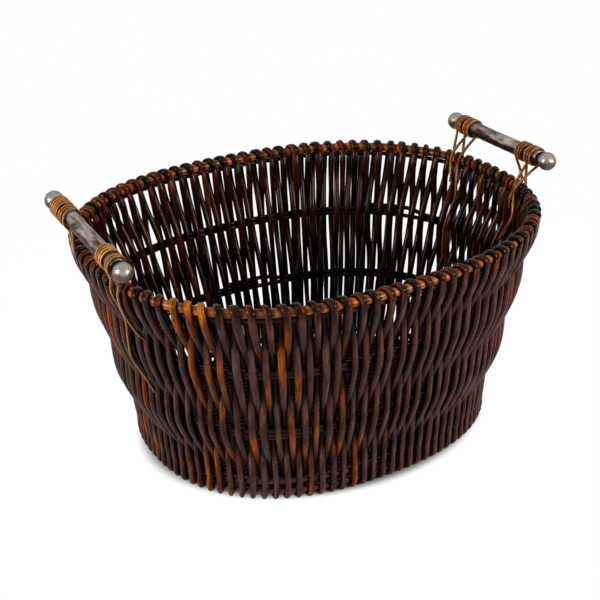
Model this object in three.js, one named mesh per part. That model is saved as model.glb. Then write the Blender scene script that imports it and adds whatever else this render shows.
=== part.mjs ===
// Oval wicker firewood basket with two metal bar handles.
// Millimetres, +Z up, +X along the long axis, the ground at z = 0.
import * as THREE from 'three'

// Rim
const RIM_HEIGHT = 275
const RIM_HALF_LENGTH = 280
const RIM_HALF_WIDTH = 228
const RIM_HOOP_RADIUS = 5.5
const UNDER_ROD_DROP = 11
const OVAL_POWER = 2.37
const EGG_TAPER = 0.045

// Rings that the stakes pass in front of and behind
const UPPER_RING_HEIGHT = 189
const UPPER_RING_HALF_LENGTH = 255.5
const UPPER_RING_HALF_WIDTH = 210.5
const LOWER_RING_HEIGHT = 103
const LOWER_RING_HALF_LENGTH = 237.5
const LOWER_RING_HALF_WIDTH = 191
const BASE_UPPER_HOOP_HEIGHT = 24
const BASE_HALF_LENGTH = 215
const BASE_HALF_WIDTH = 173
const RING_ROD_RADIUS = 2.5
const RING_ROD_SPACING = 6.6
const BASE_HOOP_RADIUS = 4

// Stakes
const STAKE_COUNT = 96
const STAKES_PER_GROUP = 3
const STAKE_THICKNESS = 5.9
const FIT_GAP = 0.4
const RING_FACET_SAG = 0.8
const LEG_SLOPE_ROOM = 0.9
const PAIR_HALF_SPACING = 0.2

// Floor
const FLOOR_STICK_COUNT = 5
const FLOOR_STICK_THICKNESS = 4
const FLOOR_STICK_STEP = 4
const FLOOR_PANEL_THICKNESS = 1.7
const FLOOR_RIB_COUNT = 39
const FLOOR_RIB_HEIGHT = 3.2
const FLOOR_RIB_HOLLOW = 1.5
const FLOOR_RIB_REACH = 0.99
const FLOOR_EDGE_GAP = 1

// Handles
const BAR_RADIUS = 9.5
const BAR_OUTREACH = 7.7
const BAR_RISE = 44
const BAR_HALF_LENGTH = 83.4
const BAR_SHIFT = 1
const LEFT_BAR_TILT = 7.5
const RIGHT_BAR_TILT = -1.3
const BALL_RADIUS = 11.5
const BALL_NECK_RADIUS = 6.5
const BALL_NECK_LENGTH = 3

// Rattan lashings
const STRAND_RADIUS = 1.5
const OUTER_TURNS = 3.5
const INNER_TURNS = 2.5
const TURN_PITCH = 5.2
const LASH_STATION = 3.5
const LASH_END_GAP = 2.4
const TAIL_OUTSIDE = 74
const TAIL_INSIDE = 52
const TAIL_STRAIGHT = 10
const TAIL_BEND_DROP = 34
const LEG_CROSS_DROP = 6
const LEG_CROSS_RISE = 9
const LEG_STAND_OFF = 1.5
const LOOP_SIDE_SHARE = 0.7
const STRAND_STEPS = 108
const STEPS_PER_TURN = 12
const STRAND_CURVE_DIVISIONS = 1200
const STRAND_SIDES = 6

// Facet counts
const OVAL_DIVISIONS = 720
const RING_SEGMENTS = 48
const HOOP_SIDES = 6
const RING_SIDES = 4
const BAR_SIDES = 16
const BALL_SIDES = 14

const halfStake = STAKE_THICKNESS / 2
const legOffset = RING_ROD_RADIUS + FIT_GAP + RING_FACET_SAG + LEG_SLOPE_ROOM + halfStake
const turnWiden = 1 / Math.cos(Math.PI / 6)
const rimTurnRadius = (RIM_HOOP_RADIUS + FIT_GAP + RING_FACET_SAG + halfStake) * turnWiden
const rimTurnReach = rimTurnRadius + halfStake * turnWiden
const baseTurnOffset = BASE_HOOP_RADIUS + FIT_GAP + RING_FACET_SAG + halfStake
const baseBendHeight = BASE_UPPER_HOOP_HEIGHT + BASE_HOOP_RADIUS
const baseHoopHeight = STAKE_THICKNESS + FIT_GAP + BASE_HOOP_RADIUS
const floorStickHeight = baseHoopHeight + BASE_HOOP_RADIUS + FIT_GAP + FLOOR_STICK_THICKNESS / 2
const floorPanelBottom = floorStickHeight + FLOOR_STICK_THICKNESS / 2 + FIT_GAP

const COLOURS = {
  hoop: { color: 0x9a5318, roughness: 0.35, metalness: 0 },
  ringRod: { color: 0x3a1c12, roughness: 0.4, metalness: 0 },
  baseHoop: { color: 0x8a3c18, roughness: 0.4, metalness: 0 },
  stake: { color: 0x4b3430, roughness: 0.45, metalness: 0 },
  floor: { color: 0x3f2418, roughness: 0.6, metalness: 0 },
  bar: { color: 0x8f877d, roughness: 0.45, metalness: 0.9 },
  ball: { color: 0xa49c92, roughness: 0.3, metalness: 0.95 },
  rattan: { color: 0xa8622a, roughness: 0.5, metalness: 0 },
}

// A level oval: a superellipse that is a little narrower towards +X.
class OvalRing extends THREE.Curve {
  constructor(halfLength, halfWidth, height) {
    super()
    this.halfLength = halfLength
    this.halfWidth = halfWidth
    this.height = height
    this.arcLengthDivisions = OVAL_DIVISIONS
  }

  getPoint(t, target = new THREE.Vector3()) {
    const angle = 2 * Math.PI * t
    const along = Math.cos(angle)
    const across = Math.sin(angle)
    const x = this.halfLength * Math.sign(along) * Math.abs(along) ** (2 / OVAL_POWER)
    const y = this.halfWidth * Math.sign(across) * Math.abs(across) ** (2 / OVAL_POWER)
    return target.set(x, y * (1 - EGG_TAPER * x / RIM_HALF_LENGTH), this.height)
  }
}

// The oval of the wall at any height, straight between the rim, the rings and the base.
const WALL_LEVELS = [
  [0, BASE_HALF_LENGTH, BASE_HALF_WIDTH],
  [baseBendHeight, BASE_HALF_LENGTH, BASE_HALF_WIDTH],
  [LOWER_RING_HEIGHT, LOWER_RING_HALF_LENGTH, LOWER_RING_HALF_WIDTH],
  [UPPER_RING_HEIGHT, UPPER_RING_HALF_LENGTH, UPPER_RING_HALF_WIDTH],
  [RIM_HEIGHT, RIM_HALF_LENGTH, RIM_HALF_WIDTH],
]

function wallOval(height) {
  let upper = WALL_LEVELS.findIndex((level) => level[0] >= height)
  if (upper < 0) upper = WALL_LEVELS.length - 1
  if (upper === 0) upper = 1
  const [lowHeight, lowLength, lowWidth] = WALL_LEVELS[upper - 1]
  const [highHeight, highLength, highWidth] = WALL_LEVELS[upper]
  const share = Math.min(1, (height - lowHeight) / (highHeight - lowHeight))
  const halfLength = THREE.MathUtils.lerp(lowLength, highLength, share)
  const halfWidth = THREE.MathUtils.lerp(lowWidth, highWidth, share)
  return new OvalRing(halfLength, halfWidth, height)
}

// Ovals are kept by height, because each one measures its own arc length once.
const ovalCache = new Map()

function ovalAt(height) {
  if (!ovalCache.has(height)) ovalCache.set(height, wallOval(height))
  return ovalCache.get(height)
}

// The wall's own axes at a station (counted in stakes round the rim) and height.
function wallFrame(station, height) {
  const share = ((station / STAKE_COUNT) % 1 + 1) % 1
  const oval = ovalAt(height)
  const along = oval.getTangentAt(share)
  along.z = 0
  along.normalize()
  const outward = new THREE.Vector3(along.y, -along.x, 0)
  return { centre: oval.getPointAt(share), along, outward }
}

function wallPoint(station, outset, height) {
  const { centre, outward } = wallFrame(station, height)
  centre.z = height
  return centre.addScaledVector(outward, outset)
}

// A rod bent at given points, mitred at each bend so that it keeps its thickness. At a
// sharp bend its section lies square to the plane of the bend.
const SHARP_BEND = 0.3

class BentRod extends THREE.Curve {
  constructor(points, sides) {
    super()
    this.points = points
    this.sides = sides
  }

  getPoint(t, target = new THREE.Vector3()) {
    const place = t * (this.points.length - 1)
    const index = Math.min(Math.floor(place), this.points.length - 2)
    return target.lerpVectors(this.points[index], this.points[index + 1], place - index)
  }

  getSpacedPoints() {
    return this.points.map((point) => point.clone())
  }

  computeFrenetFrames() {
    const tangents = []
    const normals = []
    const binormals = []
    for (let i = 0; i < this.points.length; i += 1) {
      const before = this.points[Math.max(i - 1, 0)]
      const after = this.points[Math.min(i + 1, this.points.length - 1)]
      const arriving = this.points[i].clone().sub(before).normalize()
      const leaving = after.clone().sub(this.points[i]).normalize()
      if (i === 0) arriving.copy(leaving)
      if (i === this.points.length - 1) leaving.copy(arriving)
      const tangent = arriving.clone().add(leaving).normalize()
      const binormal = this.sides[i].clone()
      if (arriving.dot(leaving) < SHARP_BEND) {
        const bendAxis = new THREE.Vector3().crossVectors(arriving, leaving)
        binormal.copy(bendAxis.multiplyScalar(Math.sign(bendAxis.dot(this.sides[i]))))
      }
      binormal.addScaledVector(tangent, -binormal.dot(tangent)).normalize()
      const normal = new THREE.Vector3().crossVectors(binormal, tangent)
      const mitre = 1 / Math.max(0.5, arriving.dot(tangent))
      tangents.push(tangent)
      normals.push(normal.multiplyScalar(mitre))
      binormals.push(binormal)
    }
    return { tangents, normals, binormals }
  }
}

function squareOutline(size) {
  const half = size / 2
  return new THREE.Shape([
    new THREE.Vector2(-half, -half),
    new THREE.Vector2(half, -half),
    new THREE.Vector2(half, half),
    new THREE.Vector2(-half, half),
  ])
}

function bentRodGeometry(points, sides, size) {
  const settings = { steps: points.length - 1, extrudePath: new BentRod(points, sides) }
  return new THREE.ExtrudeGeometry(squareOutline(size), settings)
}

const basket = new THREE.Group()

function addPiece(name, geometry, finish) {
  const mesh = new THREE.Mesh(geometry, new THREE.MeshStandardMaterial(finish))
  mesh.name = name
  basket.add(mesh)
  return mesh
}

// Closed hoops and ring rods
function addRing(name, height, radius, sides, finish, inset = 0) {
  const wall = ovalAt(height)
  const oval = new OvalRing(wall.halfLength - inset, wall.halfWidth - inset, height)
  addPiece(name, new THREE.TubeGeometry(oval, RING_SEGMENTS, radius, sides, true), finish)
}

// A pair of thin rods lies round the wall at each ring. The thin rod under the rim hoop
// lies against the stakes' inner legs.
function addRings() {
  addRing('rim_hoop', RIM_HEIGHT, RIM_HOOP_RADIUS, HOOP_SIDES, COLOURS.hoop)
  const drop = UNDER_ROD_DROP / (RIM_HEIGHT - UPPER_RING_HEIGHT)
  const innerLeg = THREE.MathUtils.lerp(rimTurnRadius, -legOffset, drop)
  const inset = innerLeg - halfStake - FIT_GAP - RING_FACET_SAG - RING_ROD_RADIUS
  const underHeight = RIM_HEIGHT - UNDER_ROD_DROP
  addRing('rim_under_rod', underHeight, RING_ROD_RADIUS, RING_SIDES, COLOURS.ringRod, inset)
  for (const [ring, height] of [['upper', UPPER_RING_HEIGHT], ['lower', LOWER_RING_HEIGHT]]) {
    for (const [place, sign] of [['top', 1], ['bottom', -1]]) {
      const rodHeight = height + sign * RING_ROD_SPACING / 2
      const name = `${ring}_ring_${place}_rod`
      addRing(name, rodHeight, RING_ROD_RADIUS, RING_SIDES, COLOURS.ringRod)
    }
  }
  addRing('base_upper_hoop', BASE_UPPER_HOOP_HEIGHT, BASE_HOOP_RADIUS, HOOP_SIDES, COLOURS.baseHoop)
  addRing('base_lower_hoop', baseHoopHeight, BASE_HOOP_RADIUS, HOOP_SIDES, COLOURS.baseHoop)
}

// One stake is a hairpin over the rim hoop. Its inner leg at the rim lies outside the
// upper ring, inside the lower ring and outside the base; its outer leg does the reverse.
function stakePoints(station) {
  const rise = rimTurnRadius * Math.sin(Math.PI / 3)
  const step = rimTurnRadius * Math.cos(Math.PI / 3)
  const near = PAIR_HALF_SPACING
  const far = 0.5 - PAIR_HALF_SPACING
  return [
    [station - far, baseTurnOffset, halfStake],
    [station - far, baseTurnOffset, baseBendHeight],
    [station - near, -legOffset, LOWER_RING_HEIGHT],
    [station - far, legOffset, UPPER_RING_HEIGHT],
    [station - near, -rimTurnRadius, RIM_HEIGHT],
    [station - near / 3, -step, RIM_HEIGHT + rise],
    [station + near / 3, step, RIM_HEIGHT + rise],
    [station + near, rimTurnRadius, RIM_HEIGHT],
    [station + far, -legOffset, UPPER_RING_HEIGHT],
    [station + near, legOffset, LOWER_RING_HEIGHT],
    [station + far, -baseTurnOffset, baseBendHeight],
    [station + far, -baseTurnOffset, halfStake],
  ]
}

// Neighbouring stakes of a group run on into each other under the base hoop. The group's
// first end is tucked under that hoop and its last end stands on the ground inside it.
function groupPath(firstStation) {
  const path = []
  const firstEnd = stakePoints(firstStation)[0]
  path.push([firstEnd[0], -BASE_HOOP_RADIUS / 2, halfStake])
  for (let i = 0; i < STAKES_PER_GROUP; i += 1) path.push(...stakePoints(firstStation + i))
  const last = path[path.length - 1]
  path[path.length - 1] = [last[0], last[1], 0]
  return path
}

function addStakes() {
  for (let group = 0; group < STAKE_COUNT / STAKES_PER_GROUP; group += 1) {
    const path = groupPath(group * STAKES_PER_GROUP)
    const points = path.map(([station, outset, height]) => wallPoint(station, outset, height))
    const sides = path.map(([station, , height]) => wallFrame(station, height).along)
    const name = `stakes_${String(group + 1).padStart(2, '0')}`
    addPiece(name, bentRodGeometry(points, sides, STAKE_THICKNESS), COLOURS.stake)
  }
}

// Floor sticks lie over the base hoop, each end in the space between two inner legs.
function addFloorSticks() {
  const middle = (FLOOR_STICK_COUNT - 1) / 2
  for (let i = 0; i < FLOOR_STICK_COUNT; i += 1) {
    const shift = (i - middle) * FLOOR_STICK_STEP
    const gapShare = 1 - PAIR_HALF_SPACING
    const farStation = STAKE_COUNT / 4 - 1 - shift + gapShare
    const nearStation = (3 * STAKE_COUNT) / 4 - 1 + shift + gapShare
    const far = wallPoint(farStation, -baseTurnOffset, floorStickHeight)
    const near = wallPoint(nearStation, -baseTurnOffset, floorStickHeight)
    const reach = far.clone().sub(near).normalize().multiplyScalar(baseTurnOffset)
    const ends = [near.sub(reach), far.add(reach)]
    const level = new THREE.Vector3(1, 0, 0)
    const stick = bentRodGeometry(ends, [level, level], FLOOR_STICK_THICKNESS)
    addPiece(`floor_stick_${i + 1}`, stick, COLOURS.floor)
  }
}

// Where a level line at y crosses the oval, as the two x values.
function ovalCrossings(oval, y) {
  const points = oval.getSpacedPoints(OVAL_DIVISIONS)
  const found = []
  for (let i = 0; i < OVAL_DIVISIONS; i += 1) {
    const a = points[i]
    const b = points[i + 1]
    const passes = a.y !== b.y && (a.y - y) * (b.y - y) <= 0
    if (passes) found.push(a.x + (b.x - a.x) * (y - a.y) / (b.y - a.y))
  }
  return [Math.min(...found), Math.max(...found)]
}

// The woven floor as one sheet with a rib along X for each pair of woven rods. Every
// line of the folds runs from one side of the oval to the other.
function addFloorPanel() {
  const inset = baseTurnOffset + halfStake + FLOOR_EDGE_GAP
  const oval = new OvalRing(BASE_HALF_LENGTH - inset, BASE_HALF_WIDTH - inset, 0)
  const reach = oval.halfWidth * FLOOR_RIB_REACH
  const lines = 2 * FLOOR_RIB_COUNT
  const corners = []
  for (let i = 0; i <= lines; i += 1) {
    const y = reach * (2 * i / lines - 1)
    const raised = i % 2
    const bottom = floorPanelBottom + raised * FLOOR_RIB_HOLLOW
    const top = floorPanelBottom + FLOOR_PANEL_THICKNESS + raised * FLOOR_RIB_HEIGHT
    const [left, right] = ovalCrossings(oval, y)
    corners.push(left, y, bottom, right, y, bottom, right, y, top, left, y, top)
  }
  const faces = [0, 1, 2, 0, 2, 3]
  for (let i = 0; i < lines; i += 1) {
    for (let side = 0; side < 4; side += 1) {
      const a = 4 * i + side
      const b = 4 * i + (side + 1) % 4
      faces.push(a, a + 4, b, b, a + 4, b + 4)
    }
  }
  const end = 4 * lines
  faces.push(end, end + 2, end + 1, end, end + 3, end + 2)
  const geometry = new THREE.BufferGeometry()
  geometry.setAttribute('position', new THREE.Float32BufferAttribute(corners, 3))
  geometry.setIndex(faces)
  const sheet = geometry.toNonIndexed()
  sheet.computeVertexNormals()
  addPiece('floor_panel', sheet, COLOURS.floor)
}

// Handle bars stand just outside the ends of the rim, across the short axis. They were
// lashed by hand, so that the left one has its far end a little higher.
const handles = [
  { name: 'left', side: -1, tilt: LEFT_BAR_TILT },
  { name: 'right', side: 1, tilt: RIGHT_BAR_TILT },
]

function barPoint(handle, y) {
  const x = handle.side * (RIM_HALF_LENGTH + BAR_OUTREACH)
  const z = RIM_HEIGHT + BAR_RISE + handle.tilt * y / BAR_HALF_LENGTH
  return new THREE.Vector3(x, y + BAR_SHIFT, z)
}

function ballProfile() {
  const start = Math.asin(BALL_NECK_RADIUS / BALL_RADIUS)
  const profile = [new THREE.Vector2(0, 0), new THREE.Vector2(BALL_NECK_RADIUS, 0)]
  const centre = BALL_NECK_LENGTH + BALL_RADIUS * Math.cos(start)
  const steps = BALL_SIDES / 2
  for (let i = 0; i < steps; i += 1) {
    const angle = start + (Math.PI - start) * i / steps
    const radius = BALL_RADIUS * Math.sin(angle)
    profile.push(new THREE.Vector2(radius, centre - BALL_RADIUS * Math.cos(angle)))
  }
  profile.push(new THREE.Vector2(0, centre + BALL_RADIUS))
  return profile
}

function addHandle(handle) {
  const low = barPoint(handle, -BAR_HALF_LENGTH)
  const high = barPoint(handle, BAR_HALF_LENGTH)
  const direction = high.clone().sub(low)
  const upright = new THREE.Vector3(0, 1, 0)
  const length = direction.length()
  direction.normalize()
  const bar = new THREE.CylinderGeometry(BAR_RADIUS, BAR_RADIUS, length, BAR_SIDES)
  const barMesh = addPiece(`${handle.name}_bar`, bar, COLOURS.bar)
  barMesh.position.copy(low).add(high).multiplyScalar(0.5)
  barMesh.quaternion.setFromUnitVectors(upright, direction)
  for (const [end, place, sign] of [['near', low, -1], ['far', high, 1]]) {
    const ball = new THREE.LatheGeometry(ballProfile(), BALL_SIDES)
    const outward = direction.clone().multiplyScalar(sign)
    const ballMesh = addPiece(`${handle.name}_${end}_ball`, ball, COLOURS.ball)
    ballMesh.position.copy(place).addScaledVector(outward, FIT_GAP)
    ballMesh.quaternion.setFromUnitVectors(upright, outward)
  }
}

// One lashing is one strand: up from an outside tail, turns towards the bar's end, down
// the inside, out through the gap between two stakes under the rim rods, up again, turns
// towards the bar's middle, and down to an inside tail.
function lashingPoints(handle, end) {
  const windRadius = BAR_RADIUS + FIT_GAP + RING_FACET_SAG / 2 + STRAND_RADIUS
  const wallGap = rimTurnReach + FIT_GAP + STRAND_RADIUS
  const middle = handle.side > 0 ? 0 : STAKE_COUNT / 2
  const gap = middle + LASH_STATION * handle.side * end
  const spread = (2 * STRAND_RADIUS + 2 * FIT_GAP) / (ovalAt(RIM_HEIGHT).getLength() / STAKE_COUNT)
  const tailShift = 2 * spread * handle.side * end
  const crossLow = RIM_HEIGHT - LEG_CROSS_DROP
  const crossHigh = RIM_HEIGHT + LEG_CROSS_RISE
  const points = []

  function addPoint(at, outset, height) {
    points.push(wallPoint(at, outset, height))
  }

  function wind(startY, turns, advance) {
    const steps = Math.round(turns * STEPS_PER_TURN)
    for (let i = 0; i <= steps; i += 1) {
      const turned = turns * i / steps
      const angle = 2 * Math.PI * turned
      const point = barPoint(handle, end * (startY + advance * TURN_PITCH * turned))
      point.x += handle.side * windRadius * Math.cos(angle)
      point.z += windRadius * Math.sin(angle)
      points.push(point)
    }
  }

  const tailDrop = RIM_HEIGHT - TAIL_OUTSIDE
  addPoint(gap + tailShift, wallGap - LEG_STAND_OFF, tailDrop)
  addPoint(gap + tailShift, wallGap - LEG_STAND_OFF, tailDrop + TAIL_STRAIGHT)
  addPoint(gap + tailShift, wallGap, RIM_HEIGHT - TAIL_BEND_DROP)
  addPoint(gap + tailShift / 2, wallGap, crossLow)
  addPoint(gap + tailShift / 2, wallGap + LEG_STAND_OFF, crossHigh)
  const firstStart = BAR_HALF_LENGTH - LASH_END_GAP - OUTER_TURNS * TURN_PITCH
  wind(firstStart, OUTER_TURNS, 1)
  const loopTop = UNDER_ROD_DROP + RING_ROD_RADIUS + FIT_GAP + STRAND_RADIUS + LEG_STAND_OFF
  const loopSide = wallGap * LOOP_SIDE_SHARE
  addPoint(gap, -wallGap - LEG_STAND_OFF, crossHigh)
  addPoint(gap, -wallGap, crossLow)
  addPoint(gap, -loopSide, RIM_HEIGHT - loopTop)
  addPoint(gap, 0, RIM_HEIGHT - loopTop - STRAND_RADIUS)
  addPoint(gap, loopSide, RIM_HEIGHT - loopTop)
  addPoint(gap, wallGap, crossLow)
  addPoint(gap - tailShift / 4, wallGap + LEG_STAND_OFF, crossHigh)
  wind(firstStart - TURN_PITCH, INNER_TURNS, -1)
  const insideTail = RIM_HEIGHT - TAIL_INSIDE
  addPoint(gap - tailShift, -wallGap - LEG_STAND_OFF, crossHigh)
  addPoint(gap - tailShift, -wallGap - LEG_STAND_OFF, crossLow)
  addPoint(gap - tailShift, -wallGap, insideTail + TAIL_STRAIGHT)
  addPoint(gap - tailShift, -wallGap, insideTail)
  return points
}

// The least distance between two stretches of a strand that aren't next to each other.
function leastSelfGap(curve, steps) {
  const points = curve.getSpacedPoints(steps * 4)
  const spacing = curve.getLength() / (steps * 4)
  const apart = Math.ceil((6 * STRAND_RADIUS) / spacing)
  let least = Infinity
  for (let i = 0; i < points.length; i += 1) {
    for (let j = i + apart; j < points.length; j += 1) {
      least = Math.min(least, points[i].distanceTo(points[j]))
    }
  }
  return least - 2 * STRAND_RADIUS
}

function addLashing(handle, end) {
  const curve = new THREE.CatmullRomCurve3(lashingPoints(handle, end), false, 'centripetal')
  curve.arcLengthDivisions = STRAND_CURVE_DIVISIONS
  const settings = { steps: STRAND_STEPS, extrudePath: curve }
  const circle = new THREE.EllipseCurve(0, 0, STRAND_RADIUS, STRAND_RADIUS)
  const section = new THREE.Shape(circle.getPoints(STRAND_SIDES))
  const name = `${handle.name}_${end < 0 ? 'near' : 'far'}_lashing`
  addPiece(name, new THREE.ExtrudeGeometry(section, settings), COLOURS.rattan)
  console.log(`${name}: least gap to itself ${leastSelfGap(curve, STRAND_STEPS).toFixed(2)} mm`)
}

addRings()
addStakes()
addFloorSticks()
addFloorPanel()
for (const handle of handles) {
  addHandle(handle)
  addLashing(handle, -1)
  addLashing(handle, 1)
}

export default basket
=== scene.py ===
import math
import bmesh
import bpy
import numpy as np
from mathutils import Matrix, Vector


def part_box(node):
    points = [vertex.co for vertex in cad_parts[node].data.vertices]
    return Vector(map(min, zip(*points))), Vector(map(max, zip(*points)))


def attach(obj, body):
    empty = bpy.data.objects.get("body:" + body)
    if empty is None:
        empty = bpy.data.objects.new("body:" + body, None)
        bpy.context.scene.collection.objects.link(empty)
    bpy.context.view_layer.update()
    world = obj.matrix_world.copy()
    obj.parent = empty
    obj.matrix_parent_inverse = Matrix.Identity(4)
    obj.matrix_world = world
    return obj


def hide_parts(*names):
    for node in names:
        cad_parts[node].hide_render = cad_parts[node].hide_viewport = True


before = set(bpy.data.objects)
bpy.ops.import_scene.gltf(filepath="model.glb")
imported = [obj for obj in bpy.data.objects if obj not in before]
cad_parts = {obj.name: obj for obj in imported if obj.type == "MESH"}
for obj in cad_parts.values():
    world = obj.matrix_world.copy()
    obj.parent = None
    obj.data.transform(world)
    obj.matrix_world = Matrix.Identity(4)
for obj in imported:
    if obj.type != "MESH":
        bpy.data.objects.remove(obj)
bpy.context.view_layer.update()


# Base hoops: two willow hoops bent to the basket's egg-shaped oval, one just above the ground and one
# 14 mm higher. The stakes stand inside and outside of them in turn. Red-brown where the stain is thin.
OVAL_POWER = 2.37
EGG_TAPER = 0.045
EGG_LENGTH = 0.280
STATIONS = 96
LEVEL_HEIGHTS = (0.0, 0.028, 0.103, 0.189, 0.275, 0.340)
LEVEL_HALF_LENGTHS = (0.215, 0.215, 0.2375, 0.2555, 0.280, 0.280)
LEVEL_HALF_WIDTHS = (0.173, 0.173, 0.191, 0.2105, 0.228, 0.228)
ROW_STEP = 0.0025
ANGLE_STEPS = 2880
COLUMNS = STATIONS * 8
TANGENT_REACH = 0.3
BASE_HOOP_RADIUS = 0.004
BASE_HEIGHTS = {"upper": 0.024, "lower": 0.0103}
BASE_DARK = (58, 24, 12)
BASE_RED = (120, 58, 28)
BASE_SEEDS = {"upper": 11, "lower": 12}


def blend(first, second, share):
    """Between two values or colours, by a share from 0 to 1."""
    return first * (1 - share) + second * share


def smooth_step(low, high, value):
    """Eases from 0 at low to 1 at high, and the other way round where low is the larger."""
    share = np.clip((value - low) / (high - low), 0, 1)
    return share * share * (3 - 2 * share)


def oval_table():
    """The oval at every 2.5 mm of height, as points an equal way apart round it."""
    heights = np.arange(0, LEVEL_HEIGHTS[-1] + ROW_STEP / 2, ROW_STEP)
    angle = np.linspace(0, 2 * math.pi, ANGLE_STEPS + 1)
    cos, sin = np.cos(angle), np.sin(angle)
    share = np.arange(COLUMNS) / COLUMNS
    rows = []
    for height in heights:
        half_length = np.interp(height, LEVEL_HEIGHTS, LEVEL_HALF_LENGTHS)
        half_width = np.interp(height, LEVEL_HEIGHTS, LEVEL_HALF_WIDTHS)
        x = half_length * np.sign(cos) * np.abs(cos) ** (2 / OVAL_POWER)
        y = half_width * np.sign(sin) * np.abs(sin) ** (2 / OVAL_POWER) * (1 - EGG_TAPER * x / EGG_LENGTH)
        run = np.concatenate([[0], np.cumsum(np.hypot(np.diff(x), np.diff(y)))])
        run /= run[-1]
        rows.append(np.stack([np.interp(share, run, x), np.interp(share, run, y)], axis=1))
    return np.array(rows)


OVALS = oval_table()


def oval_point(station, height):
    """Points of the oval, taken from the table between its rows and columns."""
    row = np.clip(np.asarray(height, float) / ROW_STEP, 0, len(OVALS) - 1.001)
    column = np.mod(np.asarray(station, float), STATIONS) * COLUMNS / STATIONS
    row0 = np.floor(row).astype(int)
    column0 = np.floor(column).astype(int)
    up = (row - row0)[..., None]
    on = (column - column0)[..., None]
    column0 %= COLUMNS
    column1 = (column0 + 1) % COLUMNS
    lower = blend(OVALS[row0, column0], OVALS[row0, column1], on)
    upper = blend(OVALS[row0 + 1, column0], OVALS[row0 + 1, column1], on)
    return blend(lower, upper, up)


def wall_point(station, outset, height):
    """Points of the wall, the directions along it and the directions out of it. A station is a stake's place,
    counted from the right end round by the far side. An outset is measured outward from the oval."""
    station, outset, height = np.broadcast_arrays(
        np.asarray(station, float), np.asarray(outset, float), np.asarray(height, float))
    along = oval_point(station + TANGENT_REACH, height) - oval_point(station - TANGENT_REACH, height)
    along /= np.linalg.norm(along, axis=-1, keepdims=True)
    outward = np.stack([along[..., 1], -along[..., 0]], axis=-1)
    flat = oval_point(station, height) + outward * outset[..., None]
    zero = np.zeros_like(height)[..., None]
    return (np.concatenate([flat, height[..., None]], axis=-1),
            np.concatenate([along, zero], axis=-1), np.concatenate([outward, zero], axis=-1))


def linear(*colour):
    """An sRGB colour, 0 to 255, as Blender's linear values."""
    value = np.asarray(colour, float) / 255
    return np.where(value <= 0.04045, value / 12.92, ((value + 0.055) / 1.055) ** 2.4)


def rod_mesh(name, points, faces, stain, polish, uv):
    """A mesh object from arrays. A face whose third and fourth corners are the same is a triangle."""
    triangle = faces[:, 2] == faces[:, 3]
    sizes = np.where(triangle, 3, 4)
    keep = np.ones((len(faces), 4), bool)
    keep[triangle, 3] = False
    corners = faces[keep]
    mesh = bpy.data.meshes.new(name)
    mesh.vertices.add(len(points))
    mesh.vertices.foreach_set("co", points.ravel())
    mesh.loops.add(len(corners))
    mesh.loops.foreach_set("vertex_index", corners)
    mesh.polygons.add(len(faces))
    mesh.polygons.foreach_set("loop_start", np.concatenate([[0], np.cumsum(sizes)[:-1]]))
    mesh.polygons.foreach_set("loop_total", sizes)
    mesh.polygons.foreach_set("use_smooth", np.ones(len(faces), bool))
    mesh.update(calc_edges=True)
    mesh.uv_layers.new(name="length").data.foreach_set("uv", uv.reshape(-1, 4, 2)[keep].ravel())
    rgba = np.concatenate([stain, np.ones((len(points), 1))], axis=1)
    mesh.attributes.new("stain", "FLOAT_COLOR", "POINT").data.foreach_set("color", rgba.ravel())
    mesh.attributes.new("polish", "FLOAT", "POINT").data.foreach_set("value", polish)
    mesh.validate()
    piece = bpy.data.objects.new(name, mesh)
    bpy.context.scene.collection.objects.link(piece)
    return piece


END_BULGE = 0.35
CUT_END_TONE = 1.3
PATTERN_SHIFT = (0.317, 0.731)


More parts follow.
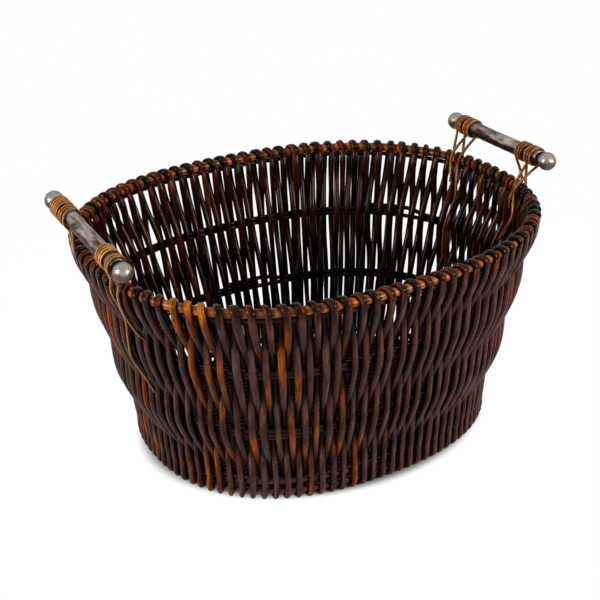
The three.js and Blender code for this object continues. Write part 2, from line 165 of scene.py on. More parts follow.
def sweep(name, rods, sides, closed=False):
    """One mesh of round or flat rods. A rod is (points, across, half widths, half thicknesses, paint)."""
    points_all, faces_all, stain_all, polish_all, uv_all = [], [], [], [], []
    start = 0
    turn = np.arange(sides) * 2 * math.pi / sides
    cos, sin = np.cos(turn), np.sin(turn)
    for number, (path, across, wide, thick, paint) in enumerate(rods):
        count = len(path)
        if closed:
            tangent = np.roll(path, -1, axis=0) - np.roll(path, 1, axis=0)
        else:
            tangent = np.gradient(path, axis=0)
        tangent /= np.linalg.norm(tangent, axis=1, keepdims=True)
        side = across - (across * tangent).sum(1, keepdims=True) * tangent
        side /= np.linalg.norm(side, axis=1, keepdims=True)
        face = np.cross(side, tangent)
        wide = np.broadcast_to(wide, count)
        thick = np.broadcast_to(thick, count)
        normal = side[:, None] * cos[None, :, None] + face[:, None] * sin[None, :, None]
        ring = (path[:, None] + side[:, None] * (cos[None] * wide[:, None])[..., None]
                + face[:, None] * (sin[None] * thick[:, None])[..., None])
        colour = paint(normal, side, tangent)
        points_all.append(ring.reshape(-1, 3))
        stain_all.append(colour[..., :3].reshape(-1, 3))
        polish_all.append(colour[..., 3].reshape(-1))
        i = np.arange(count if closed else count - 1)[:, None]
        j = np.arange(sides)[None]
        next_i = (i + 1) % count
        next_j = (j + 1) % sides
        quad = (i * sides + j, next_i * sides + j, next_i * sides + next_j, i * sides + next_j)
        quad = [np.broadcast_to(corner, (len(i), sides)) for corner in quad]
        faces_all.append(np.stack(quad, -1).reshape(-1, 4) + start)
        step = np.linalg.norm(np.diff(path, axis=0, append=path[:1]), axis=1)
        along = np.concatenate([[0], np.cumsum(step)]) + number * PATTERN_SHIFT[1]
        girth = 2 * math.pi * float(np.mean(wide)) / sides
        u = np.stack([j, j, j + 1, j + 1], -1) * girth + number * PATTERN_SHIFT[0]
        v = np.stack([along[i], along[i + 1], along[i + 1], along[i]], -1)
        u, v = np.broadcast_arrays(u, v)
        uv_all.append(np.stack([u, v], -1).reshape(-1, 2))
        rod_start = start
        start += count * sides
        if closed:
            continue
        for row, way in ((0, -1), (count - 1, 1)):
            tip = path[row] + way * tangent[row] * thick[row] * END_BULGE
            points_all.append(tip[None])
            stain_all.append(colour[row, :, :3].mean(0, keepdims=True) * CUT_END_TONE)
            polish_all.append(np.array([0.0]))
            near = rod_start + row * sides + np.arange(sides)
            near_uv = np.stack([cos, sin], -1) * float(wide[0])
            far, far_uv = np.roll(near, -1), np.roll(near_uv, -1, axis=0)
            if way > 0:
                near, near_uv, far, far_uv = far, far_uv, near, near_uv
            faces_all.append(np.stack([np.full(sides, start), near, far, far], -1))
            fan = np.stack([near_uv * 0, near_uv, far_uv, far_uv], 1)
            uv_all.append(fan.reshape(-1, 2) + number * PATTERN_SHIFT[0])
            start += 1
    parts = (points_all, faces_all, stain_all, polish_all, uv_all)
    return rod_mesh(name, *(np.concatenate(part) for part in parts))


def new_material(name):
    """A material with nodes, as (material, its node tree, its shader)."""
    material = bpy.data.materials.new(name)
    material.use_nodes = True
    return material, material.node_tree, material.node_tree.nodes["Principled BSDF"]


def add_attribute(tree, name):
    node = tree.nodes.new("ShaderNodeAttribute")
    node.attribute_name = name
    return node


def add_noise(tree, place, stretch, scale, detail, dimensions, roughness=0.5):
    """Noise over coordinates that are stretched first."""
    mapping = tree.nodes.new("ShaderNodeMapping")
    mapping.inputs["Scale"].default_value = stretch
    tree.links.new(place, mapping.inputs["Vector"])
    noise = tree.nodes.new("ShaderNodeTexNoise")
    noise.noise_dimensions = dimensions
    noise.inputs["Scale"].default_value = scale
    noise.inputs["Detail"].default_value = detail
    noise.inputs["Roughness"].default_value = roughness
    tree.links.new(mapping.outputs["Vector"], noise.inputs["Vector"])
    return noise.outputs["Fac"]


def add_range(tree, value, span, result, ease="LINEAR"):
    """Turns one span of values into another."""
    node = tree.nodes.new("ShaderNodeMapRange")
    node.interpolation_type = ease
    node.inputs["From Min"].default_value = span[0]
    node.inputs["From Max"].default_value = span[1]
    node.inputs["To Min"].default_value = result[0]
    node.inputs["To Max"].default_value = result[1]
    tree.links.new(value, node.inputs["Value"])
    return node.outputs["Result"]


def add_math(tree, operation, *values):
    """A Math node. A value is a number, set on its socket, or another node's output."""
    node = tree.nodes.new("ShaderNodeMath")
    node.operation = operation
    for socket, value in zip(node.inputs, values):
        if isinstance(value, float):
            socket.default_value = value
        else:
            tree.links.new(value, socket)
    return node.outputs["Value"]


def add_scaled(tree, colour, amount):
    """A colour, or another node's output, times an amount."""
    node = tree.nodes.new("ShaderNodeVectorMath")
    node.operation = "SCALE"
    if isinstance(colour, np.ndarray):
        node.inputs[0].default_value = colour
    else:
        tree.links.new(colour, node.inputs[0])
    tree.links.new(amount, node.inputs["Scale"])
    return node.outputs["Vector"]


STREAK_STRETCH = (1300, 45, 1)
MOTTLE_STRETCH = (170, 28, 1)
SPECK_STRETCH = (420, 260, 1)
SPECK_COLOUR = (0.006, 0.003, 0.002, 1)
GRAIN_DEPTH = 0.0004


def stained_wood(name, streak=0.35, mottle=0.3, matt=0.5, gloss=0.2, grain=0.3, coat=0.02, shine=0.16,
                 tint=(1.0, 0.72, 0.6)):
    """Stained and lacquered rod: the mesh's own stain, with fine streaks along the rod and soft mottles."""
    material, tree, shader = new_material(name)
    polish = add_attribute(tree, "polish").outputs["Fac"]
    uv = tree.nodes.new("ShaderNodeUVMap")
    uv.uv_map = "length"
    streaks = add_noise(tree, uv.outputs["UV"], STREAK_STRETCH, 1, 3, "2D")
    mottles = add_noise(tree, uv.outputs["UV"], MOTTLE_STRETCH, 1, 2, "2D")
    specks = add_noise(tree, uv.outputs["UV"], SPECK_STRETCH, 1, 2, "2D")
    colour = add_attribute(tree, "stain").outputs["Color"]
    for noise, depth, span in ((streaks, streak, (0.32, 0.68)), (mottles, mottle, (0.35, 0.65))):
        colour = add_scaled(tree, colour, add_range(tree, noise, span, (1 - depth, 1 + depth)))
    speckled = tree.nodes.new("ShaderNodeMix")
    speckled.data_type = "RGBA"
    speckled.inputs["B"].default_value = SPECK_COLOUR
    tree.links.new(add_range(tree, specks, (0.6, 0.72), (0, 0.65)), speckled.inputs["Factor"])
    tree.links.new(colour, speckled.inputs["A"])
    tree.links.new(speckled.outputs["Result"], shader.inputs["Base Color"])
    rough = add_range(tree, polish, (0, 1), (matt, gloss))
    uneven = add_math(tree, "MULTIPLY_ADD", mottles, 0.16, rough)
    tree.links.new(uneven, shader.inputs["Roughness"])
    bump = tree.nodes.new("ShaderNodeBump")
    bump.inputs["Distance"].default_value = GRAIN_DEPTH
    tree.links.new(add_range(tree, polish, (0, 1), (grain, 0.25 * grain)), bump.inputs["Strength"])
    tree.links.new(streaks, bump.inputs["Height"])
    tree.links.new(bump.outputs["Normal"], shader.inputs["Normal"])
    shader.inputs["Specular IOR Level"].default_value = shine
    shader.inputs["Specular Tint"].default_value = (*tint, 1)
    shader.inputs["Coat Weight"].default_value = coat
    shader.inputs["Coat Roughness"].default_value = 0.16
    return material


def plain_paint(dark, light, polish, seed, patch=6):
    """Paint for a rod or hoop: the stain wanders between two colours, with a new tone at every few points."""
    random = np.random.default_rng(seed)

    def paint(normal, side, tangent):
        count, sides = normal.shape[:2]
        knots = random.random(max(3, count // patch))
        along = np.interp(np.linspace(0, len(knots) - 1, count), np.arange(len(knots)), knots)
        share = np.broadcast_to(smooth_step(0.2, 0.8, along)[:, None, None], (count, sides, 1))
        colour = blend(linear(*dark), linear(*light), share)
        return np.concatenate([colour, np.full((count, sides, 1), polish)], axis=2)

    return paint


LAP_LENGTH = 3.2
LAP_RISE_FROM = STATIONS - 2.5
LAP_RISE_TO = STATIONS - 0.5


def hoop(name, height, radius, paint, count=480, sides=14, outset=0.0, lap_at=None, lift=0.0):
    """A hoop round the wall. With a lap, its ends pass each other there instead of meeting."""
    if lap_at is None:
        station = np.arange(count) * STATIONS / count
        rise = np.zeros(count)
    else:
        station = lap_at + np.linspace(0, STATIONS + LAP_LENGTH, count + 1)
        rise = lift * smooth_step(LAP_RISE_FROM, LAP_RISE_TO, station - lap_at)
    path = wall_point(station, outset, height + rise)[0]
    up = np.tile(np.array([0.0, 0.0, 1.0]), (len(path), 1))
    return sweep(name, [(path, up, radius, radius, paint)], sides, closed=lap_at is None)


hoop_stain = stained_wood("base_hoop_lacquer", mottle=0.45, matt=0.2, gloss=0.1, shine=0.4)
for level, height in BASE_HEIGHTS.items():
    paint = plain_paint(BASE_DARK, BASE_RED, 0.5, BASE_SEEDS[level], patch=9)
    piece = hoop(f"base_{level}_hoop_round", height, BASE_HOOP_RADIUS, paint)
    piece.data.materials.append(hoop_stain)
    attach(piece, "root")
    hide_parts(f"base_{level}_hoop")


# Floor: five straight rods lie across the width of the base, over the lower hoop, and thinner rods are woven
# over and under them from end to end. Dark brown willow, its ends cut close to the wall.
STICKS = 5
STICK_RADIUS = 0.0022
STICK_HEIGHT = 0.0167
STICK_POINTS = 30
STICK_SPACING = 0.075
STICK_DARK = (20, 10, 6)
STICK_BROWN = (44, 21, 11)
WEAVER_RADIUS = 0.0023
WEAVER_PITCH = 0.0043
WEAVER_SWING = 0.0044
WEAVER_POINTS = 70
WEAVER_DARK = (16, 8, 5)
WEAVER_BROWN = (46, 22, 12)
SHORTEST_WEAVER = 0.03
FLOOR_EDGE = 0.0115
FLOOR_HALF_WIDTH = 0.175
floor_stain = stained_wood("floor_willow", streak=0.4, mottle=0.4, matt=0.45, gloss=0.3, coat=0.03)
stick_places = []
for number in range(1, STICKS + 1):
    low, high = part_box(f"floor_stick_{number}")
    middle = (low.x + high.x) / 2
    stick_places.append(middle)
    ends = np.linspace(low.y, high.y, STICK_POINTS)
    path = np.stack([np.full(STICK_POINTS, middle), ends, np.full(STICK_POINTS, STICK_HEIGHT)], axis=1)
    paint = plain_paint(STICK_DARK, STICK_BROWN, 0.3, 20 + number)
    across = np.tile(np.array([1.0, 0.0, 0.0]), (STICK_POINTS, 1))
    piece = sweep(f"floor_stick_round_{number}", [(path, across, STICK_RADIUS, STICK_RADIUS, paint)], 12)
    piece.data.materials.append(floor_stain)
    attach(piece, "root")
    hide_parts(f"floor_stick_{number}")

stick_places.sort()
floor_ring = wall_point(np.arange(0, STATIONS, 0.25), -FLOOR_EDGE, STICK_HEIGHT)[0]
half_count = int(FLOOR_HALF_WIDTH / WEAVER_PITCH)
weavers = []
for row in range(-half_count, half_count + 1):
    y = row * WEAVER_PITCH
    crossing = []
    for a, b in zip(floor_ring, np.roll(floor_ring, -1, axis=0)):
        if (a[1] - y) * (b[1] - y) < 0:
            crossing.append(a[0] + (b[0] - a[0]) * (y - a[1]) / (b[1] - a[1]))
    if len(crossing) < 2 or max(crossing) - min(crossing) < SHORTEST_WEAVER:
        continue
    x = np.linspace(min(crossing), max(crossing), WEAVER_POINTS)
    knots = [stick_places[0] - STICK_SPACING] + stick_places + [stick_places[-1] + STICK_SPACING]
    parity = 1 if row % 2 else -1
    lean = np.cos(np.interp(x, knots, np.arange(len(knots))) * math.pi)
    swing = parity * WEAVER_SWING * np.sign(lean) * np.abs(lean) ** 1.7
    path = np.stack([x, np.full(WEAVER_POINTS, y), STICK_HEIGHT + swing], axis=1)
    across = np.tile(np.array([0.0, 1.0, 0.0]), (WEAVER_POINTS, 1))
    paint = plain_paint(WEAVER_DARK, WEAVER_BROWN, 0.3, 100 + row, patch=12)
    weavers.append((path, across, WEAVER_RADIUS, WEAVER_RADIUS, paint))
piece = sweep("floor_weaving", weavers, 8)
piece.data.materials.append(floor_stain)
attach(piece, "root")
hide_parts("floor_panel")


# Ring rods: pairs of thin dark willow rods that run round the wall at two levels, one rod above the other,
# and one more just under the rim. The ends of a ring rod lap past each other. The one under the rim closes.
RING_ROD_RADIUS = 0.0029
RING_LIFT = 0.0052
RING_DARK = (14, 6, 4)
RING_BROWN = (42, 18, 10)
RING_RODS = {
    "rim_under_rod": {"raised": 0.0022, "outset": 0.0012, "lift": 0.0, "lap_at": None},
    "upper_ring_top_rod": {"raised": -0.0005, "outset": 0.0, "lift": RING_LIFT, "lap_at": 8.5},
    "upper_ring_bottom_rod": {"raised": 0.0005, "outset": 0.0, "lift": -RING_LIFT, "lap_at": 40},
    "lower_ring_top_rod": {"raised": -0.0005, "outset": 0.0, "lift": RING_LIFT, "lap_at": 22},
    "lower_ring_bottom_rod": {"raised": 0.0005, "outset": 0.0, "lift": -RING_LIFT, "lap_at": 61}}
ring_stain = stained_wood("ring_rod_lacquer", streak=0.3, mottle=0.35, matt=0.22, gloss=0.06, shine=0.12,
                          tint=(1.0, 0.76, 0.66))
for number, (node, plan) in enumerate(RING_RODS.items()):
    low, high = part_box(node)
    height = (low.z + high.z) / 2 + plan["raised"]
    paint = plain_paint(RING_DARK, RING_BROWN, 0.6, 40 + number)
    piece = hoop(f"{node}_round", height, RING_ROD_RADIUS, paint, sides=12, outset=plan["outset"],
                 lap_at=plan["lap_at"], lift=plan["lift"])
    piece.data.materials.append(ring_stain)
    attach(piece, "root")
    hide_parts(node)


# Stakes: 96 willow rods, each folded over the rim hoop like a hairpin. Its two legs pass inside and outside
# of the rings in turn and go on under the lower base hoop to the next stake. Stained dark, and worn to honey
# in places. Three neighbours hang together under the hoop, as one piece.
STAKES_PER_GROUP = 3
GROUPS = STATIONS // STAKES_PER_GROUP
STAKE_SIDES = 10
LEG_POINTS = 46
RIM_HEIGHT = 0.275
RIM_HOOP_RADIUS = 0.0055
STAKE_LEVELS = np.array([BASE_HEIGHTS["lower"], BASE_HEIGHTS["upper"], 0.103, 0.189, 0.264, RIM_HEIGHT])
LEG_OUTSETS = np.array([-0.0076, -0.0076, 0.0067, -0.0070, 0.0074, 0.0073])
LEG_PLACES = np.array([0.30, 0.30, 0.20, 0.30, 0.20, 0.20])
LEVEL_DRIFT = np.array([-0.22, -0.22, -0.16, -0.08, 0.0, 0.0])
BASE_WOBBLE = 0.03
WALL_WOBBLE = 0.13
RIM_SLIDE = 0.09
RIM_WOBBLE = 0.02
SWAY = 0.05
SWAY_START = 0.02
SWAY_LENGTH = 0.12
GIRTHS = (0.92, 0.98, 1.03, 1.08, 1.16)
GIRTH_ODDS = (0.1, 0.2, 0.3, 0.25, 0.15)
USUAL_GIRTH = 1.03
ROD_HEIGHTS = (BASE_HEIGHTS["lower"], BASE_HEIGHTS["upper"], 0.060, 0.103, 0.146, 0.189, RIM_HEIGHT)
ROD_RADII = np.array([0.0034, 0.0035, 0.0037, 0.0039, 0.0041, 0.0042])
BASE_ROD_RADIUS = 0.0033
BASE_ROD_FLATNESS = 0.93
BASE_ROD_GRIP = 0.0003
WRAP_HALF_WIDTH = 0.0044
WRAP_HALF_THICKNESS = 0.0021
WRAP_GAP = 0.0002
WRAP_POINTS = 14
FOOT_POINTS = 11
FLATTENS_AT = (0.256, 0.276)
GLOSSY_AT = (0.262, 0.274)
USUAL_OUTSET = 0.0064
# The outer face's mauve: a dark red-brown with a painted sheen of the white room laid into its colour.
SHEENED_MAUVE = linear(73, 57, 54)
UMBER = linear(24, 15, 13)
RED_BROWN = linear(96, 40, 19)
HONEY = linear(136, 68, 12)
# The inner face's colours are painted shade, near black and a dark red, darker than the outer ones.
SHADED_INNER_BLACK = linear(11, 5, 3)
SHADED_INNER_RED = linear(74, 26, 10)
WRAP_BLACK = linear(18, 8, 5)
WRAP_EDGE = linear(134, 55, 18)
WRAP_HONEY = linear(176, 98, 16)
# Legs round this station are made redder, on both faces.
REDDER_STATION = 34
REDDER_REACH = (11, 4)
WARM_TONE = 0.25
WARM_ODDS = 0.1
TONE_STEP = 0.045
HONEY_STAKES = {
    30: 0.5, 31: 0.5, 35: 0.35, 41: 0.35, 54: 0.35, 56: 1.0, 57: 1.0, 58: 0.9, 59: 0.25, 61: 0.2, 62: 0.25,
    63: 0.7, 64: 0.6, 65: 0.35, 67: 0.3, 69: 0.15, 73: 0.15}
willow_stain = stained_wood("stake_stain", streak=0.55, mottle=0.55, matt=0.4, gloss=0.1, grain=0.8,
                            shine=0.11, tint=(1.0, 0.78, 0.66))
stake_random = np.random.default_rng(2452)
stake_plans = []
for stake in range(STATIONS):
    wobbles = {}
    for which in "ba":
        at_base = np.repeat(stake_random.uniform(-BASE_WOBBLE, BASE_WOBBLE), 2)
        wobbles[which] = np.concatenate([at_base, stake_random.uniform(-WALL_WOBBLE, WALL_WOBBLE, 4)])
    slide = stake_random.uniform(-RIM_SLIDE, RIM_SLIDE)
    for which in "ab":
        wobbles[which][-2:] = slide + stake_random.uniform(-RIM_WOBBLE, RIM_WOBBLE)
    stake_plans.append({
        "wobbles": wobbles,
        "sways": dict(zip("ba", stake_random.uniform(-SWAY, SWAY, 2))),
        "girth": stake_random.choice(GIRTHS, p=GIRTH_ODDS),
        "warmth": HONEY_STAKES.get(stake, WARM_TONE if stake_random.random() < WARM_ODDS else 0.0),
        "seed": int(stake_random.integers(1 << 30))})


def leg(which, stake):
    """Leg a, which is outside at the rim, or leg b, which mirrors it, as (stations, outsets, heights)."""
    way = 1 if which == "a" else -1
    plan = stake_plans[stake % STATIONS]
    height = np.linspace(STAKE_LEVELS[0], STAKE_LEVELS[-1], LEG_POINTS)
    level = np.clip(np.searchsorted(STAKE_LEVELS, height, side="right") - 1, 0, len(STAKE_LEVELS) - 2)
    share = (height - STAKE_LEVELS[level]) / (STAKE_LEVELS[level + 1] - STAKE_LEVELS[level])
    eased = 0.5 - 0.5 * np.cos(math.pi * share)
    bend = 0.7 * eased + 0.3 * share
    outsets = way * LEG_OUTSETS
    place = stake + way * LEG_PLACES + LEVEL_DRIFT + plan["wobbles"][which]
    sway = plan["sways"][which] * np.sin(math.pi * (height - SWAY_START) / SWAY_LENGTH)
    at = blend(place[level], place[level + 1], eased) + sway
    return at, blend(outsets[level], outsets[level + 1], bend), height


def run_of(at, *values):
    """One run of a group's rod: its stations, and its other values made as many."""
    return [at] + [np.broadcast_to(value, at.shape) for value in values]


def tone_curve(random, heights, warmth):
    """How red (first) and how honey-coloured (second) a leg is along its height."""
    knots = np.arange(-0.02, 0.34, TONE_STEP) + random.uniform(-0.02, 0.02)
    red = random.random(len(knots)) * (0.5 + 0.3 * warmth)
    honey = random.random(len(knots)) < 0.006 + 0.5 * warmth
    honey = np.interp(heights, knots, honey.astype(float))
    return np.interp(heights, knots, red), 0.9 * smooth_step(0.2, 0.8, honey)


def stake_paint(tones, outward, out, height, wrap):
    """Mauve to umber on the outer face and near black on the inner one, both redder or honey-coloured where
    the stain wears thin. The mauve is red-brown with a painted sheen in it, and the near black is painted
    shade; the outer face's sides turn red-brown where that painted sheen falls off, and outer faces set deep
    in the wall and the inner face low down are darkened as painted shade. The wraps over the rim are glossy
    and dark, with one lighter edge."""
    red, honey, wrap_honey, dark, edging = (tone[:, None] for tone in tones.values())

    def paint(normal, side, tangent):
        outer = blend(blend(blend(SHEENED_MAUVE, UMBER, dark), RED_BROWN, red), HONEY, honey)
        # Painted shade: deeper in the basket the inner face loses its red and stays near black.
        low = smooth_step(0.2, 0.13, height)[:, None]
        inner = blend(blend(SHADED_INNER_BLACK, SHADED_INNER_RED, red * (1 - 0.8 * low)), HONEY, 0.5 * honey)
        facing = smooth_step(-0.15, 0.6, (normal * outward[:, None]).sum(2))[..., None]
        beside = (normal * side[:, None]).sum(2)
        # Painted sheen: the middle of the outer face keeps it, the sides turn red-brown where it falls off.
        sheen_falloff = (smooth_step(0.45, 0.95, np.abs(beside)) * edging)[..., None]
        outer = blend(outer[:, None], RED_BROWN, sheen_falloff)
        # Painted shade: outer faces of legs that lie deep in the wall are darkened.
        recess_shade = 0.8 * smooth_step(0.002, -0.004, out)[:, None, None]
        # Faces turned outward take the painted-sheen colours, faces turned inward the painted-shade ones.
        colour = blend(inner[:, None], outer * (1 - recess_shade), facing)
        slant = beside * np.where(dark > 0.3, 1, -1)
        edge = (smooth_step(0.0, 0.85, slant) * (0.35 + 0.8 * edging))[..., None]
        top = blend(blend(WRAP_BLACK, WRAP_EDGE, edge), WRAP_HONEY, wrap_honey[..., None])
        over = np.maximum(wrap, smooth_step(*GLOSSY_AT, height))[:, None, None]
        return np.concatenate([blend(colour, top, over), np.maximum(1 - facing, over)], axis=2)

    return paint


for group in range(GROUPS):
    first = group * STAKES_PER_GROUP + 1
    runs = []
    for stake in range(first, first + STAKES_PER_GROUP):
        number = 2 * (stake - first)
        girth = stake_plans[stake % STATIONS]["girth"]
        at_b, out_b, height = leg("b", stake)
        at_a, out_a, height = leg("a", stake)
        radius = np.interp(height, ROD_HEIGHTS, np.concatenate([[BASE_ROD_RADIUS], ROD_RADII * girth]))
        near_rim = smooth_step(*FLATTENS_AT, height)
        wrap_width = WRAP_HALF_WIDTH * (0.95 + 1.6 * (girth - USUAL_GIRTH))
        wide = blend(radius * (0.95 + 0.12 * (out_b / USUAL_OUTSET) ** 2), wrap_width, near_rim)
        thick = blend(radius, WRAP_HALF_THICKNESS, near_rim)
        runs.append(run_of(at_b, out_b, height, wide, thick, 0.0, number))
        turn = np.linspace(0, math.pi, WRAP_POINTS)[1:-1]
        reach = RIM_HOOP_RADIUS + WRAP_HALF_THICKNESS + WRAP_GAP
        runs.append(run_of(blend(at_b[-1], at_a[-1], turn / math.pi), -reach * np.cos(turn),
                           RIM_HEIGHT + reach * np.sin(turn), wrap_width, WRAP_HALF_THICKNESS, 1.0, number))
        runs.append(run_of(at_a[::-1], out_a[::-1], height[::-1], wide[::-1], thick[::-1], 0.0, number + 1))
        next_at = leg("b", stake + 1)[0][0]
        last = stake == first + STAKES_PER_GROUP - 1
        turn = np.linspace(0, math.pi, FOOT_POINTS)[1:(None if last else -1)]
        depth = BASE_HOOP_RADIUS + BASE_ROD_RADIUS - BASE_ROD_GRIP
        runs.append(run_of(blend(at_a[0], next_at, turn / math.pi), LEG_OUTSETS[0] * np.cos(turn),
                           BASE_HEIGHTS["lower"] - depth * np.sin(turn), BASE_ROD_RADIUS,
                           BASE_ROD_RADIUS * BASE_ROD_FLATNESS, 0.0, number + 1))

    station, out, height, wide, thick, wrap, numbers = (np.concatenate(values) for values in zip(*runs))
    path, along, outward = wall_point(station, out, height)
    tones = {name: np.zeros(len(path)) for name in ("red", "honey", "wrap_honey", "dark", "edging")}
    for number in range(2 * STAKES_PER_GROUP):
        stake = first + number // 2
        plan = stake_plans[stake % STATIONS]
        random = np.random.default_rng(plan["seed"] + number)
        mask = numbers == number
        red, tones["honey"][mask] = tone_curve(random, height[mask], plan["warmth"])
        redder_here = smooth_step(*REDDER_REACH, abs(stake - REDDER_STATION))
        tones["red"][mask] = np.minimum(red * (1 + 0.4 * redder_here), 1)
        tones["wrap_honey"][mask] = 1.0 if plan["warmth"] > 0.85 else 0.0
        tones["dark"][mask] = random.uniform(0, 0.6)
        tones["edging"][mask] = random.uniform(0, 0.8)
    paint = stake_paint(tones, outward, out, height, wrap)
    piece = sweep(f"stakes_round_{group + 1:02d}", [(path, along, wide, thick, paint)], STAKE_SIDES)
    piece.data.materials.append(willow_stain)
    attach(piece, "root")
    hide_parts(f"stakes_{group + 1:02d}")


# Rim hoop: the thick willow hoop that the stakes are folded over. Honey-orange under clear lacquer, with
# darker mottles and painted shade beside each wrap.
RIM_HOOP_POINTS = 960
RIM_SHADE_AND_MOTTLE = linear(50, 17, 4)
RIM_GOLD = linear(226, 118, 22)
RIM_PATCHES = 3 * STATIONS
WRAP_SLANT = 0.2
rim_random = np.random.default_rng(71)


def rim_paint(normal, side, tangent):
    """Gold between the wraps and darker beside them, as painted shade. A wrap slants from outside to inside.
    """
    count, sides = normal.shape[:2]
    station = (np.arange(count) * STATIONS / count)[:, None]
    outward = normal[..., 0] * tangent[:, None, 1] - normal[..., 1] * tangent[:, None, 0]
    from_wrap = np.abs(np.mod(station - WRAP_SLANT * outward + 0.5, 1) - 0.5)
    knots = rim_random.random(RIM_PATCHES)
    patch = np.interp(np.arange(count), np.linspace(0, count, RIM_PATCHES), knots)[:, None]
    # Painted shade beside each wrap, with the random darker mottles on top of it.
    share = smooth_step(0.24, 0.48, from_wrap) * (0.3 + 0.7 * patch)
    colour = blend(RIM_SHADE_AND_MOTTLE, RIM_GOLD, share[..., None])
    return np.concatenate([colour, np.full((count, sides, 1), 0.6)], axis=2)


rim_stain = stained_wood("rim_hoop_lacquer", streak=0.3, mottle=0.5, matt=0.16, gloss=0.06, grain=0.3,
                         coat=0.06, shine=0.18, tint=(1.0, 0.75, 0.45))
piece = hoop("rim_hoop_round", RIM_HEIGHT, RIM_HOOP_RADIUS, rim_paint, count=RIM_HOOP_POINTS, sides=20)
piece.data.materials.append(rim_stain)
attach(piece, "root")
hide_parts("rim_hoop")


# Handle bars: a straight round metal bar at each end, hammered and pitted, with a brown patina. Its ends are
# cut square with a small bevel, and a ball is set on each.
BAR_RADIUS = 0.0095
BAR_HALF_LENGTH = 0.0834
BAR_LENGTH = 2 * BAR_HALF_LENGTH
BAR_PLACES = {"left": (-0.2877, 0.0075), "right": (0.2877, -0.0013)}
BAR_SHIFT = 0.001
BAR_HEIGHT = 0.319
BAR_BEVEL = 0.001
BAR_CUTS = 60
DENT_SIZE = 0.012
DENT_DEPTH = 0.0012
METAL_RELIEF = 0.0003
SMOOTH_ANGLE = math.radians(50)


def bar_matrix(handle):
    """Turns +Z of a piece made at the origin to the bar's far end, and puts it at the bar's middle."""
    x, rise = BAR_PLACES[handle]
    turn = Matrix.Rotation(math.atan(rise / BAR_HALF_LENGTH) - math.pi / 2, 4, "X")
    return Matrix.Translation((x, BAR_SHIFT, BAR_HEIGHT)) @ turn


def settle(piece, matrix):
    """Puts a piece's place in its mesh."""
    piece.data.transform(matrix)
    piece.matrix_world = Matrix.Identity(4)
    piece.data.update()


def aged_metal(name, base, patina, rough, pits, share):
    """Bare metal under a patchy patina, with painted shade below in the patina colour, and fine pits and
    brush marks along the bar.
    """
    material, tree, shader = new_material(name)
    place = tree.nodes.new("ShaderNodeTexCoord").outputs["Object"]
    cloud = add_noise(tree, place, (1.5, 0.4, 1.5), 75, 5, "3D", roughness=0.65)
    fine = add_noise(tree, place, (1, 1, 1), 620, 3, "3D")
    brush = add_noise(tree, place, (900, 60, 900), 1, 3, "3D")
    underside = add_attribute(tree, "underside").outputs["Fac"]
    # Real patina patches, with painted shade added on the underside.
    patina_and_shade = add_math(tree, "MULTIPLY_ADD", underside, 0.42, cloud)
    patches = add_range(tree, patina_and_shade, (0.57 - share, 0.8 - share), (0, 1))
    stains = add_math(tree, "MAXIMUM", patches, add_range(tree, fine, (0.62, 0.72), (0, pits)))
    bare = add_scaled(tree, linear(*base), add_range(tree, brush, (0.3, 0.7), (0.78, 1.22)))
    tone = tree.nodes.new("ShaderNodeMix")
    tone.data_type = "RGBA"
    tree.links.new(bare, tone.inputs["A"])
    tone.inputs["B"].default_value = (*linear(*patina), 1)
    tree.links.new(stains, tone.inputs["Factor"])
    tree.links.new(tone.outputs["Result"], shader.inputs["Base Color"])
    tree.links.new(add_range(tree, stains, (0, 1), (0.9, 0.35)), shader.inputs["Metallic"])
    uneven = add_range(tree, brush, (0, 1), (rough - 0.1, rough + 0.16))
    tree.links.new(uneven, shader.inputs["Roughness"])
    bump = tree.nodes.new("ShaderNodeBump")
    bump.inputs["Strength"].default_value = 0.45
    bump.inputs["Distance"].default_value = METAL_RELIEF
    tree.links.new(add_math(tree, "SUBTRACT", brush, stains), bump.inputs["Height"])
    tree.links.new(bump.outputs["Normal"], shader.inputs["Normal"])
    shader.inputs["Specular IOR Level"].default_value = 0.3
    shader.inputs["Specular Tint"].default_value = (0.4, 0.38, 0.36, 1)
    return material


def mark_underside(piece):
    """Stores how far each point of a settled piece faces down, for the painted shade laid on below."""
    values = [smooth_step(0.6, -0.3, point.vector.z) for point in piece.data.vertex_normals]
    piece.data.attributes.new("underside", "FLOAT", "POINT").data.foreach_set("value", values)


